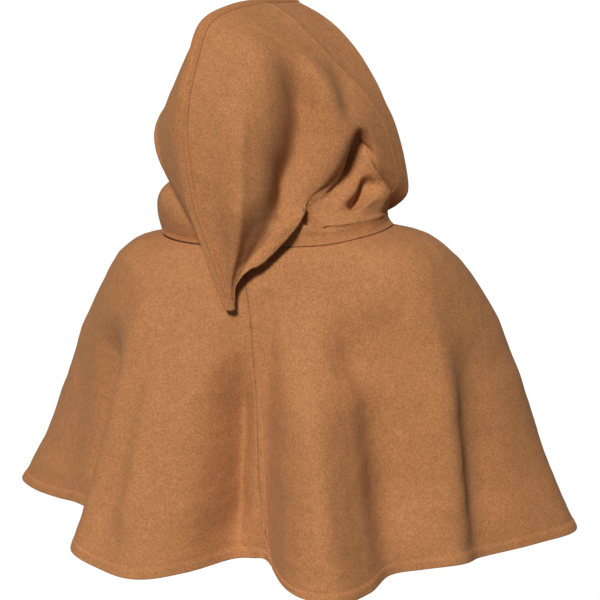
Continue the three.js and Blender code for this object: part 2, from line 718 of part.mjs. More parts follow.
const vShares = stepsAlong(capeLines);
for (const [sideName, side] of [['right', 1], ['left', -1]]) {
  const flipped = side > 0;
  const angles = capeAngles(side);
  addLayer(`cape_${sideName}`, capeGrid(side, angles, vShares), 0, wall, camelWool, flipped);
  const hemGrid = capeGrid(side, angles, [capeHemShare, 1]);
  addLayer(`cape_hem_${sideName}`, hemGrid, ...innerLayer, camelWool, flipped);
}

// The raised seam down the crown and the peak, over both halves.
const seamGrid = sShares.map((s) => {
  const right = hoodRight(s, crownSeamShare);
  const left = hoodLeft(s, crownSeamShare);
  const middle = hoodRight(s, 0);
  return [
    { point: left, outward: hoodOutward(hoodLeft, s, crownSeamShare, -1) },
    { point: middle, outward: crownMitre(s) },
    { point: right, outward: hoodOutward(hoodRight, s, crownSeamShare, 1) },
  ];
});
addLayer('crown_seam', seamGrid, -layerGap - crownSeamRaise, -layerGap, seamWool, false);

// The neck seam's allowance, pressed up inside the collar of the hood.
for (const [sideName, side] of [['right', 1], ['left', -1]]) {
  const neckColumns = sShares.filter((s) => s < napeShare - sameShare);
  neckColumns.push(napeShare - napeEase);
  const neckGrid = hoodGrid(side, neckColumns, [allowanceShare, 1]);
  addLayer(`neck_seam_${sideName}`, neckGrid, ...innerLayer, seamWool, side < 0);
}

// The origin is where the head carries the hood: the highest place of the crown's inner face.
const restPoint = hoodRight(crownTopShare, 0).addScaledVector(crownMitre(crownTopShare), -wall);
placed.position.copy(restPoint).negate();

export default hood;
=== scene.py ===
# A wool hood with a shoulder cape: the hood's long peak hangs down the back and the cape falls in folds.
import math
import bpy
import numpy as np
from mathutils import Matrix, Vector


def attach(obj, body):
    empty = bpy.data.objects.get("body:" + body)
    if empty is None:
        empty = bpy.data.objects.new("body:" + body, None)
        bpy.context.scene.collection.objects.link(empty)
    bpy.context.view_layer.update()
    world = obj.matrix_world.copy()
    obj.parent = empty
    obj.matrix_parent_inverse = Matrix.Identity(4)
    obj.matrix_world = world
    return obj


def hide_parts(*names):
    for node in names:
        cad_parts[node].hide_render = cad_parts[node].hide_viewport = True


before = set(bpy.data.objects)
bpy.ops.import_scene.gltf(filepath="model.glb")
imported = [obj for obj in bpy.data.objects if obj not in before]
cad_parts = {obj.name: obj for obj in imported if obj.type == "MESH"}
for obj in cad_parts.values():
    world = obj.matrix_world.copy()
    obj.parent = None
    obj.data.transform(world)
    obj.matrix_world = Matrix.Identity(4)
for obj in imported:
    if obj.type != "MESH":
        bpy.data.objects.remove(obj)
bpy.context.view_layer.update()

MM = 0.001

# Sizes, in millimetres, in a frame whose origin is the middle of the neck seam. A share is a part of the
# way along the crown seam or down the side of the hood, or down the cape.
WALL, LAYER_GAP = 2.0, 0.3
NECK_HALF_WIDTH, NECK_BACK_REACH, NECK_FRONT_REACH = 145.0, 100.0, 95.0
NECK_FRONT_DROP, NECK_SQUARENESS = 25.0, 2.4
HOOD_HALF_WIDTH, HOOD_BACK_REACH, HOOD_HEIGHT, HOOD_TURN = 127.0, 162.0, 282.0, 25.0
NAPE_ANGLE, CREASE_SPREAD = -8.0, 16.0
COLLAR_HEIGHT, COLLAR_ROLL, FOLD_REACH = 48.0, 24.0, 16.0
CROWN_LENGTH, SIDE_LENGTH = 530.0, 330.0
CAPE_SIDE_REACH, CAPE_BACK_REACH, CAPE_FRONT_REACH = 374.0, 262.0, 262.0
CAPE_DROP, CAPE_LENGTH, CAPE_SPREAD = 385.0, 455.0, 180.0
PEAK_REST, PEAK_REST_TOP, PEAK_REST_SHARE = 1.5, -2.0, 0.7
FACE_HEM_WIDTH, CAPE_HEM_WIDTH, NECK_SEAM_WIDTH = 28.0, 12.0, 12.0
WIDEST_SHARE, CREASE_SHARE, NAPE_SHARE, BAG_SHARE = 0.44, 0.8, 0.55, 0.61
CROWN_TOP_SHARE, NECK_SEAM_END, ROLL_SKEW = 0.134, 0.008, 0.65
BACK_SEAM_PULL = 55.0

# Folds: where on the cape the hem's begin and how they grow, and over which shares of its run each of the
# others comes and goes.
FOLD_START, FOLD_GROWTH, FOLD_STEPS = 0.14, 0.9, 24
CAPE_FOLD_GROWS, CAPE_FOLD_FADES = (0, 0.35), (0.7, 1)
HOOD_FOLD_GROWS, HOOD_FOLD_FADES = (-0.1, 0.25), (0.75, 1.1)
SEAM_STILL, LOWER_STILL = 0.06, 0.93

# Stitches, and how far from its seam or edge each row of them lies.
STITCH_PITCH, STITCH_LENGTH, STITCH_RADIUS = 3.6, 2.5, 0.5
STITCH_SHIFT, STITCH_LEAN, THREAD_LIFT = 0.08, 0.12, 0.15
NECK_STITCHES, SEAM_STITCHES, BACK_STITCHES = (5.0, 8.5), (-5.8, 9.4), 7.0
TIP_STITCHES, TIP_REACH, TIP_PLACES = (0.965, 0.974, 0.983), 6.5, 14
FACE_STITCHES_START, BACK_STITCHES_START = 0.04, 0.02
NECK_GROOVES_END = (NAPE_SHARE - 0.01, NAPE_SHARE + 0.02)

# Soft relief of the cloth: the two heights of its wrinkles, and the depth and width of each groove.
NOISE_CELLS = ((34, 7, 3), (11, 5, 9))
HOOD_WRINKLES, CAPE_WRINKLES = (0.9, 0.35), (1.1, 0.35)
NECK_GROOVE, EDGE_GROOVE, TURN_GROOVE, FACE_HEM_GROOVE = (0.6, 1.1), (0.8, 0.9), (1.1, 1.8), (0.35, 1.3)
SEAM_GROOVE, BACK_STITCH_GROOVE, CAPE_HEM_GROOVE = (1.0, 1.1), (0.35, 1.1), (0.9, 1.3)
CAPE_HEM_RISE, CAPE_HEM_EASE = 0.9, 4
SMOOTH_SHARE, SMOOTH_ROUNDS = 0.025, 12

# Between which distances from each seam or edge the wrinkles grow to their full height.
CROWN_CALM, LOWER_CALM = (4, 22), (3, 18)
NECK_CALM, BACK_CALM, HEM_CALM, FRONT_CALM = (5, 30), (6, 26), (2, 20), (3, 20)

# How far from the crown and neck seams the outward directions turn to those of the cloth beyond, and from
# which share down the hood's side they turn to those of its lower edge.
MITRE_REACH, NECK_TURN_REACH, LOWER_TURN_START = 6, 8, 0.985


def table(columns, *rows):
    data = np.array(rows, dtype=float)
    return {name: data[:, k] for k, name in enumerate(columns)}


# The crown seam from the face edge to the tip of the peak, as shares of the hood's sizes.
CROWN_ROWS = table(
    ("at", "across", "back", "up"),
    (0, -0.244, -0.389, 0.979), (0.134, -0.205, 0.049, 1), (0.21, -0.228, 0.315, 0.993),
    (0.305, -0.228, 0.636, 0.943), (0.4, -0.173, 0.827, 0.798), (0.49, -0.142, 0.951, 0.638),
    (0.555, -0.118, 0.994, 0.514), (0.632, -0.071, 1, 0.372), (0.713, -0.008, 0.994, 0.223),
    (0.835, 0.15, 0.951, 0.014), (0.93, 0.268, 0.92, -0.142), (1, 0.354, 0.886, -0.241),
)
# The widest line of each half.
RIGHT_ROWS = table(
    ("at", "across", "back", "up", "flat"),
    (0, 1, -0.63, 0.206, 1.05), (0.08, 1, -0.444, 0.284, 1.15), (0.16, 0.976, -0.259, 0.376, 1.2),
    (0.25, 0.921, -0.099, 0.44, 1.15), (0.33, 0.843, 0.031, 0.355, 1.12),
    (0.41, 0.764, 0.173, 0.277, 1.12), (0.48, 0.715, 0.302, 0.22, 1.12),
    (0.55, 0.738, 0.383, 0.15, 1.12), (0.62, 0.717, 0.481, 0.085, 1.12),
    (0.7, 0.646, 0.58, 0.021, 1.12), (0.77, 0.567, 0.679, -0.035, 1.12),
    (0.86, 0.457, 0.815, -0.092, 1.1), (0.93, 0.402, 0.86, -0.145, 1.05), (1, 0.398, 0.858, -0.234, 1),
)
LEFT_ROWS = table(
    ("at", "across", "back", "up", "flat"),
    (0, -0.976, -0.642, 0.234, 1.1), (0.08, -0.961, -0.432, 0.337, 1.2),
    (0.16, -0.929, -0.154, 0.426, 1.4), (0.25, -0.866, 0.185, 0.482, 1.6),
    (0.35, -0.772, 0.519, 0.518, 1.7), (0.465, -0.654, 0.79, 0.457, 1.6),
    (0.55, -0.52, 0.852, 0.34, 1.4), (0.657, -0.315, 0.877, 0.213, 1.3),
    (0.765, -0.063, 0.877, 0.071, 1.15), (0.86, 0.094, 0.87, -0.05, 1.05),
    (0.93, 0.205, 0.865, -0.138, 1), (1, 0.311, 0.858, -0.234, 1),
)
# The under seam of the peak, from the nape to the tip.
UNDER_ROWS = table(
    ("at", "across", "back", "up"),
    (0.59, 0.22, 0.586, 0.085), (0.64, 0.252, 0.617, 0.128), (0.7, 0.26, 0.667, 0.071),
    (0.77, 0.268, 0.716, 0), (0.86, 0.268, 0.778, -0.071), (0.93, 0.299, 0.815, -0.142),
    (1, 0.354, 0.83, -0.234),
)
# The crease above the collar, by angle round the neck.
CREASE_ROWS = table(
    ("at", "rise", "tuck", "roll"),
    (-180, 0.29, 0.055, 0), (-115, 0.62, 0.083, 0.15), (-88, 1.29, 0.124, 0.66), (-66, 1.54, 0.166, 1),
    (-44, 1.29, 0.124, 0.66), (-20, 0.75, 0.055, 0.12), (20, 0.6, 0.02, 0), (50, 0.45, 0.02, 0),
    (90, 0.3, 0.06, 0), (180, 0.29, 0.055, 0),
)
# Folds: three places by the share along the seam and down the side, then reach, and width above and below.
RIGHT_FOLDS = [
    ((0.26, 0.47, 0.8), (0.14, 0.22, 0.235), 0.85, 0.075, 0.07),
    ((0.62, 0.76, 0.93), (0.24, 0.25, 0.3), 0.45, 0.06, 0.03),
    ((0.44, 0.62, 0.84), (0.19, 0.215, 0.26), 0.4, 0.055, 0.02),
    ((0.51, 0.47, 0.42), (0.64, 0.76, 0.84), -0.6, 0.03, 0.016),
    ((0.25, 0.42, 0.64), (0.22, 0.355, 0.37), -1.5, 0.055, 0.034),
    ((0.52, 0.7, 0.86), (0.34, 0.36, 0.38), -0.5, 0.05, 0.06),
    ((0.2, 0.31, 0.42), (0.26, 0.385, 0.43), 0.25, 0.035, 0.04),
    ((0.11, 0.2, 0.28), (0.23, 0.325, 0.39), -0.4, 0.04, 0.04),
    ((0.22, 0.33, 0.46), (0.39, 0.42, 0.46), 0.4, 0.033, 0.02),
    ((0.17, 0.25, 0.34), (0.405, 0.455, 0.51), -2.0, 0.017, 0.036),
    ((0.29, 0.36, 0.42), (0.48, 0.52, 0.56), -0.5, 0.02, 0.035),
    ((0.2, 0.3, 0.4), (0.54, 0.6, 0.7), 0.9, 0.08, 0.11),
    ((0.27, 0.33, 0.38), (0.56, 0.62, 0.7), -1.6, 0.034, 0.018),
    ((0.24, 0.29, 0.32), (0.6, 0.66, 0.78), 0.3, 0.03, 0.03),
]
LEFT_FOLDS = [
    ((0.32, 0.46, 0.6), (0.33, 0.4, 0.42), 0.25, 0.04, 0.04),
    ((0.14, 0.26, 0.42), (0.3, 0.42, 0.52), -0.45, 0.055, 0.055),
    ((0.08, 0.2, 0.32), (0.46, 0.56, 0.62), 0.3, 0.045, 0.045),
    ((0.22, 0.32, 0.4), (0.62, 0.68, 0.74), -0.45, 0.04, 0.04),
]
# Folds of the cape: where each starts and ends down the cape, its angle there, then reach and width.
CAPE_FOLDS = table(
    ("start", "end", "upper", "lower", "reach", "before", "after"),
    (0.02, 0.5, 28, 27, -0.9, 0.1, 0.09), (0, 0.5, 46, 44, -1, 0.07, 0.08),
    (0.3, 1.06, -5, -4, -1.8, 0.075, 0.065),
    (0.3, 1, -33, -30, 0.6, 0.05, 0.05), (0.3, 0.97, -64, -60, -1.5, 0.1, 0.08),
    (0.3, 0.97, 24, 27, 0.6, 0.06, 0.05), (0.15, 0.97, 56, 55, -1.5, 0.13, 0.07),
    (0.3, 0.97, 70, 70, 0.5, 0.05, 0.06), (0.3, 0.97, 81, 80, -0.6, 0.07, 0.06),
)
# The neck seam's height, by angle round the neck.
NECK_ROWS = table(
    ("at", "up"),
    (-180, -1), (-120, -0.75), (-80, -0.3), (-45, -0.2), (0, 0), (45, 0.17), (65, 0.42), (82, 0.48),
    (98, 0.36), (135, -0.55), (180, -1),
)
# The cape's fall from the neck seam to the hem.
FALL_ROWS = table(
    ("at", "right_out", "left_out", "side_down", "back_out", "back_down"),
    (0, 0, 0, 0, 0, 0), (0.07, 0.19, 0.15, 0.025, 0.09, 0.055), (0.15, 0.34, 0.28, 0.09, 0.19, 0.13),
    (0.235, 0.45, 0.385, 0.168, 0.29, 0.215), (0.315, 0.53, 0.47, 0.25, 0.38, 0.295),
    (0.43, 0.625, 0.57, 0.376, 0.5, 0.415), (0.57, 0.72, 0.67, 0.54, 0.63, 0.56),
    (0.79, 0.85, 0.82, 0.79, 0.83, 0.785), (1, 1, 1, 1, 1, 1),
)
# The hem's ridges and valleys by angle.
HEM_ROWS = table(
    ("at", "reach", "drop"),
    (-180, 1, 1), (-163, 1.083, 1.013), (-145, 0.919, 0.997), (-122, 0.972, 1), (-98, 1.024, 0.992),
    (-91, 0.912, 0.982), (-84, 0.793, 0.969), (-75, 0.724, 0.943), (-63, 0.701, 0.945),
    (-55, 0.799, 0.956), (-47, 0.941, 0.974), (-36.6, 0.957, 1.003), (-23.4, 0.963, 1.003),
    (-14, 0.87, 0.985), (-5, 0.7, 0.977), (4, 0.64, 0.974), (12, 0.67, 0.98), (17.2, 0.9, 0.994),
    (27.6, 1.034, 1.005), (39, 0.914, 1.01), (48.5, 0.784, 0.995), (59, 0.78, 0.99),
    (66, 0.83, 0.98), (76, 0.79, 0.997), (89, 0.915, 0.992), (97.5, 1.028, 0.995),
    (112, 0.987, 0.997), (129, 0.905, 1.003), (146, 0.924, 0.997), (163, 1.083, 1.013), (180, 1, 1),
)
# Where the cape's back seam runs, by share down the cape.
BACK_SEAM_ROWS = table(
    ("at", "angle"),
    (0, -9), (0.1, -4), (0.2, 0), (0.45, 4), (0.8, 7.7), (0.93, 10), (1, 13),
)


# Small tools
def ease(low, high, x):
    u = np.clip((x - low) / (high - low), 0, 1)
    return u * u * (3 - 2 * u)


def unit(v):
    return v / np.maximum(np.linalg.norm(v, axis=-1, keepdims=True), 1e-9)


def dot(a, b):
    return np.sum(a * b, axis=-1, keepdims=True)


def rows_at(rows, column, x):
    """A column of a table at x, on a smooth curve through its rows."""
    at, value = rows["at"], rows[column]
    x = np.clip(x, at[0], at[-1])
    i = np.clip(np.searchsorted(at, x, side="left") - 1, 0, len(at) - 2)
    span = np.diff(at)
    slope = np.diff(value) / span
    tangent = np.empty_like(value)
    tangent[0], tangent[-1] = slope[0], slope[-1]
    tangent[1:-1] = (slope[:-1] * span[1:] + slope[1:] * span[:-1]) / (span[:-1] + span[1:])
    u = (x - at[i]) / span[i]
    start = (1 + 2 * u) * (1 - u) ** 2 * value[i] + u * (1 - u) ** 2 * span[i] * tangent[i]
    end = u * u * (3 - 2 * u) * value[i + 1] + u * u * (u - 1) * span[i] * tangent[i + 1]
    return start + end


def steps_along(*stops):
    """Shares from 0, each stop giving how far up to go and in how many even steps."""
    values = [0.0]
    for up_to, steps in stops:
        start = values[-1]
        values += [start + (up_to - start) * k / steps for k in range(1, steps + 1)]
    return np.array(values)


def lattice_noise(u, v, seed):
    """Smooth noise from -1 to 1 over a lattice of whole numbers."""
    size = 64
    lattice = np.random.default_rng(seed).uniform(-1, 1, (size, size))
    iu, iv = np.floor(u).astype(int), np.floor(v).astype(int)
    fu, fv = u - iu, v - iv
    wu, wv = fu * fu * (3 - 2 * fu), fv * fv * (3 - 2 * fv)
    a = lattice[iu % size, iv % size] * (1 - wv) + lattice[iu % size, (iv + 1) % size] * wv
    b = lattice[(iu + 1) % size, iv % size] * (1 - wv) + lattice[(iu + 1) % size, (iv + 1) % size] * wv
    return a * (1 - wu) + b * wu


# The cape. Angles go round the neck from the back, in degrees, to the wearer's right if positive.
def ring_radius(angle, half, back, front, squareness):
    s = np.abs(np.sin(np.radians(angle)))
    c = np.cos(np.radians(angle))
    depth = np.where(c >= 0, back, front)
    return ((s / half) ** squareness + (np.abs(c) / depth) ** squareness) ** (-1 / squareness)


def around_neck(angle, radius, z):
    a = np.radians(angle)
    return np.stack(np.broadcast_arrays(-np.sin(a) * radius, np.cos(a) * radius, z), axis=-1)


def neck_radius(angle):
    return ring_radius(angle, NECK_HALF_WIDTH, NECK_BACK_REACH, NECK_FRONT_REACH, NECK_SQUARENESS)


def neck_height(angle):
    return NECK_FRONT_DROP * rows_at(NECK_ROWS, "up", angle)


def cape_shape(angle, v):
    """Radius and height of the cape's outer face."""
    plain = ring_radius(angle, CAPE_SIDE_REACH, CAPE_BACK_REACH, CAPE_FRONT_REACH, 2)
    sideways = np.sin(np.radians(angle)) ** 2
    side_out = np.where(angle > 0, rows_at(FALL_ROWS, "right_out", v), rows_at(FALL_ROWS, "left_out", v))
    out = sideways * side_out + (1 - sideways) * rows_at(FALL_ROWS, "back_out", v)
    side_down, back_down = rows_at(FALL_ROWS, "side_down", v), rows_at(FALL_ROWS, "back_down", v)
    down = sideways * side_down + (1 - sideways) * back_down
    grown = np.clip((v - FOLD_START) / (1 - FOLD_START), 0, 1) ** FOLD_GROWTH
    fold = plain * (rows_at(HEM_ROWS, "reach", angle) - 1) * grown + cape_fold_height(angle, v)
    radius = neck_radius(angle) + (plain - neck_radius(angle)) * out + fold
    hem = -CAPE_DROP * rows_at(HEM_ROWS, "drop", angle)
    return radius, neck_height(angle) + (hem - neck_height(angle)) * down


def cape_fold_height(angle, v):
    height = 0
    for k in range(len(CAPE_FOLDS["start"])):
        start, end, upper, lower, reach, before, after = (column[k] for column in CAPE_FOLDS.values())
        down = (v - start) / (end - start)
        off = angle - (upper + (lower - upper) * np.clip(down, 0, 1))
        across = np.radians(off) * (NECK_HALF_WIDTH + CAPE_SPREAD * v)
        width = np.where(off > 0, after, before) * CAPE_LENGTH
        fade = ease(*CAPE_FOLD_GROWS, down) * (1 - ease(*CAPE_FOLD_FADES, down))
        height = height + reach * FOLD_REACH * fade * np.exp(-(across / width) ** 2)
    return height


def cape_point(angle, v):
    return around_neck(angle, *cape_shape(angle, v))


def cape_radius_at(angle, z, halvings=13):
    """Radius of the cape's outer face at a height, found by halving the way down it."""
    low, high = np.zeros_like(z), np.ones_like(z)
    for _ in range(halvings):
        middle = (low + high) / 2
        above = cape_shape(angle, middle)[1] > z
        low, high = np.where(above, middle, low), np.where(above, high, middle)
    return cape_shape(angle, (low + high) / 2)[0]


# The hood. s goes along the crown seam, t from that seam down to the lower edge.
def in_hood(across, back, up):
    """A place or direction of the turned hood in the frame of the neck."""
    s, c = math.sin(math.radians(HOOD_TURN)), math.cos(math.radians(HOOD_TURN))
    return np.stack(np.broadcast_arrays(-c * across + s * back, s * across + c * back, up), axis=-1)


def hood_row(rows, s):
    return in_hood(rows_at(rows, "across", s) * HOOD_HALF_WIDTH, rows_at(rows, "back", s) * HOOD_BACK_REACH,
                   rows_at(rows, "up", s) * HOOD_HEIGHT)


NAPE = around_neck(NAPE_ANGLE, neck_radius(NAPE_ANGLE), neck_height(NAPE_ANGLE))
UNDER_PLACES = np.vstack([NAPE, hood_row(UNDER_ROWS, UNDER_ROWS["at"])])
UNDER_POINTS = {"at": np.concatenate([[NAPE_SHARE], UNDER_ROWS["at"]])}
for k, axis in enumerate("xyz"):
    UNDER_POINTS[axis] = UNDER_PLACES[:, k]


def under_seam(s):
    return np.stack([rows_at(UNDER_POINTS, axis, s) for axis in "xyz"], axis=-1)


def quarter(start, end, along, share, flat):
    """A rounded quarter turn from start to end that sets out along a direction."""
    path = end - start
    first = along * dot(path, along)
    angle = math.pi / 2 * np.clip(share, 0, 1)
    lead = np.sin(angle) ** flat
    rise = 1 - np.maximum(0, np.cos(angle)) ** flat
    return start + first * lead[..., None] + (path - first) * rise[..., None]


def plain_hood(s, t, side):
    """The outer face of one half without its folds, on the right for side 1 and on the left for -1."""
    s, t = np.broadcast_arrays(s, t)
    rows = RIGHT_ROWS if side > 0 else LEFT_ROWS
    crown, widest = hood_row(CROWN_ROWS, s), hood_row(rows, s)
    sideways = in_hood(float(side), 0.0, 0.0)
    upper = quarter(crown, widest, sideways, t / WIDEST_SHARE, rows_at(rows, "flat", s))
    path = widest - crown
    onward = unit(path - sideways * dot(path, sideways))
    toward = np.clip(s / NAPE_SHARE, 0, 1)
    seam_angle = side * 180 + (NAPE_ANGLE - side * 180) * toward
    on_neck = around_neck(seam_angle, neck_radius(seam_angle), neck_height(seam_angle))
    lowest = np.where((s > NAPE_SHARE)[..., None], under_seam(s), on_neck)
    angle = side * 180 + (NAPE_ANGLE + side * (CREASE_SPREAD - 180)) * toward
    rise = rows_at(CREASE_ROWS, "rise", angle) * COLLAR_HEIGHT
    tuck = rows_at(CREASE_ROWS, "tuck", angle) * NECK_HALF_WIDTH
    crease = around_neck(angle, neck_radius(angle) - tuck, neck_height(angle) + rise) + lowest - on_neck
    bag = ease(NAPE_SHARE, BAG_SHARE, s)[..., None]
    under = quarter(widest, lowest, onward, (t - WIDEST_SHARE) / (1 - WIDEST_SHARE), 1)
    gather = quarter(widest, crease, onward, (t - WIDEST_SHARE) / (CREASE_SHARE - WIDEST_SHARE), 1)
    share = np.clip((t - CREASE_SHARE) / (1 - CREASE_SHARE), 0, 1)
    roll = rows_at(CREASE_ROWS, "roll", angle) * COLLAR_ROLL * np.sin(math.pi * share ** ROLL_SKEW)
    collar = crease + (lowest - crease) * share[..., None] + around_neck(angle, roll, 0.0)
    collar = np.where((t <= CREASE_SHARE)[..., None], gather, collar)
    lower = collar + (under - collar) * bag
    return np.where((t <= WIDEST_SHARE)[..., None], upper, lower)


def outward_at(surface, s, t, side, step=0.004):
    along_s = surface(np.minimum(1, s + step), t) - surface(np.maximum(0, s - step), t)
    along_t = surface(s, np.minimum(1, t + step)) - surface(s, np.maximum(0, t - step))
    return unit(np.cross(along_s, along_t) * side)


def fold_path(ends, length):
    """Places along a smooth curve through three shares of a length."""
    u = np.linspace(0, 1, FOLD_STEPS + 1)
    lead = 2 * ends[1] - (ends[0] + ends[2]) / 2
    return length * ((1 - u) ** 2 * ends[0] + 2 * u * (1 - u) * lead + u ** 2 * ends[2])


def fold_height(folds, s, t):
    """Height of the folds, each a smooth ridge or valley about its path."""
    height = np.zeros(np.broadcast(s, t).shape)
    for path_s, path_t, reach, above, below in folds:
        nearest = np.full(height.shape, np.inf)
        share = np.zeros(height.shape)
        lower = np.zeros(height.shape, dtype=bool)
        at_s, at_t = fold_path(path_s, CROWN_LENGTH), fold_path(path_t, SIDE_LENGTH)
        for k in range(FOLD_STEPS):
            step_s, step_t = at_s[k + 1] - at_s[k], at_t[k + 1] - at_t[k]
            off_s, off_t = s * CROWN_LENGTH - at_s[k], t * SIDE_LENGTH - at_t[k]
            onward = np.clip((off_s * step_s + off_t * step_t) / (step_s ** 2 + step_t ** 2), 0, 1)
            off_s, off_t = off_s - onward * step_s, off_t - onward * step_t
            distance = np.hypot(off_s, off_t)
            closer = distance < nearest
            nearest = np.where(closer, distance, nearest)
            share = np.where(closer, (k + onward) / FOLD_STEPS, share)
            lower = np.where(closer, off_t > 0, lower)
        fade = ease(*HOOD_FOLD_GROWS, share) * (1 - ease(*HOOD_FOLD_FADES, share))
        width = np.where(lower, below, above) * SIDE_LENGTH
        height += reach * FOLD_REACH * fade * np.exp(-(nearest / width) ** 2)
    return height


def rest_on_cape(point, s):
    """Moves the peak out where it would sink into the cape."""
    share = ease(NAPE_SHARE, PEAK_REST_SHARE, s) * (point[..., 2] <= PEAK_REST_TOP)
    angle = np.degrees(np.arctan2(-point[..., 0], point[..., 1]))
    radius = np.hypot(point[..., 0], point[..., 1])
    least = cape_radius_at(angle, point[..., 2]) + PEAK_REST
    grown = np.maximum(radius, radius + (least - radius) * share) / np.maximum(radius, 1e-6)
    return point * np.stack([grown, grown, np.ones_like(grown)], axis=-1)


def hood_surface(side):
    folds = RIGHT_FOLDS if side > 0 else LEFT_FOLDS

    def plain(s, t):
        return plain_hood(s, t, side)

    def surface(s, t):
        s, t = np.broadcast_arrays(np.asarray(s, float), np.asarray(t, float))
        still = ease(0, SEAM_STILL, t) * (1 - ease(LOWER_STILL, 1, t))
        height = still * fold_height(folds, s, t)
        point = plain(s, t) + outward_at(plain, s, t, side) * height[..., None]
        return rest_on_cape(point, s)
    return surface


HOOD = {1: hood_surface(1), -1: hood_surface(-1)}
# All is moved so that the origin is the highest place of the crown's inner face.
top = np.array([CROWN_TOP_SHARE])
top_out = unit(outward_at(HOOD[1], top, top * 0, 1) + outward_at(HOOD[-1], top, top * 0, -1))
PLACED = -(HOOD[1](top, top * 0) - top_out * WALL)[0]


# Meshes
def mesh_object(name, vertices, faces, material):
    mesh = bpy.data.meshes.new(name)
    vertices = (np.asarray(vertices).reshape(-1, 3) + PLACED) * MM
    faces = np.asarray(faces, dtype=np.int32)
    mesh.vertices.add(len(vertices))
    mesh.vertices.foreach_set("co", vertices.astype(np.float32).ravel())
    mesh.loops.add(faces.size)
    mesh.loops.foreach_set("vertex_index", faces.ravel())
    mesh.polygons.add(len(faces))
    mesh.polygons.foreach_set("loop_start", np.arange(len(faces), dtype=np.int32) * faces.shape[1])
    mesh.update(calc_edges=True)
    mesh.validate()
    mesh.shade_smooth()
    mesh.materials.append(material)
    piece = bpy.data.objects.new(name, mesh)
    bpy.context.scene.collection.objects.link(piece)
    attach(piece, "root")
    return piece


def grid_normals(grid, side):
    along_i = np.gradient(grid, axis=0)
    along_j = np.gradient(grid, axis=1)
    return unit(np.cross(along_i, along_j) * side)


# Where the lines of a rounded edge lie on its half circle.
EDGE_ANGLES = (0.9, math.pi / 2, math.pi - 0.9)


def closed_sheet(outer, inner, flipped, rounded=()):
    """Vertices and faces of a sheet between two faces, with some of its four edges rounded."""
    rows, columns = outer.shape[:2]
    vertices = [outer.reshape(-1, 3), inner.reshape(-1, 3)]
    number = np.arange(rows * columns).reshape(rows, columns)
    back = number + rows * columns
    front_quads = np.stack([number[:-1, :-1], number[1:, :-1], number[1:, 1:], number[:-1, 1:]], -1)
    back_quads = np.stack([back[:-1, :-1], back[:-1, 1:], back[1:, 1:], back[1:, :-1]], -1)
    quads = [front_quads.reshape(-1, 4), back_quads.reshape(-1, 4)]
    count = 2 * rows * columns
    edges = {
        "s0": (number[0, :], back[0, :], outer[0] - outer[1], 0),
        "s1": (number[-1, :], back[-1, :], outer[-1] - outer[-2], 1),
        "t0": (number[:, 0], back[:, 0], outer[:, 0] - outer[:, 1], 1),
        "t1": (number[:, -1], back[:, -1], outer[:, -1] - outer[:, -2], 0),
    }
    flat = np.vstack(vertices)
    for name, (front, rear, away, turned) in edges.items():
        strips = [front]
        if name in rounded:
            middle = (flat[front] + flat[rear]) / 2
            half = (flat[front] - flat[rear]) / 2
            reach = np.linalg.norm(half, axis=-1, keepdims=True)
            for angle in EDGE_ANGLES:
                vertices.append(middle + half * math.cos(angle) + unit(away) * reach * math.sin(angle))
                strips.append(np.arange(count, count + len(front)))
                count += len(front)
        strips.append(rear)
        for a, b in zip(strips[:-1], strips[1:]):
            quad = np.stack([a[:-1], a[1:], b[1:], b[:-1]], -1)
            quads.append(quad[:, ::-1] if turned else quad)
    faces = np.vstack(quads)
    return np.vstack(vertices), faces[:, ::-1] if flipped else faces


def inner_layer(patch, out):
    """The two faces of a layer that is sewn to the inside of the cloth."""
    return patch - out * (WALL + LAYER_GAP), patch - out * (2 * WALL + LAYER_GAP)


def run_lengths(grid, axis):
    """Length along the cloth from the first line of a grid."""
    step = np.linalg.norm(np.diff(grid, axis=axis), axis=-1)
    zero = np.zeros_like(np.take(step, [0], axis=axis))
    return np.concatenate([zero, np.cumsum(step, axis=axis)], axis=axis)


def wrinkles(u, v, seed, heights):
    """Soft unevenness of heavy cloth, from two sizes of noise."""
    total = 0
    for k, (cell, start_u, start_v) in enumerate(NOISE_CELLS):
        total = total + heights[k] * lattice_noise(u / cell + start_u, v / cell + start_v, seed + k)
    return total


def groove(distance, at, depth, width):
    return -depth * np.exp(-((distance - at) / width) ** 2)


def line_at(grid, normals, run, distance):
    """The line that lies a distance along each run of a grid, with its outward directions."""
    places, outward = np.empty((len(grid), 3)), np.empty((len(grid), 3))
    for i, reach in enumerate(np.broadcast_to(distance, len(grid))):
        for k in range(3):
            places[i, k] = np.interp(reach, run[i], grid[i, :, k])
            outward[i, k] = np.interp(reach, run[i], normals[i, :, k])
    return places, unit(outward)


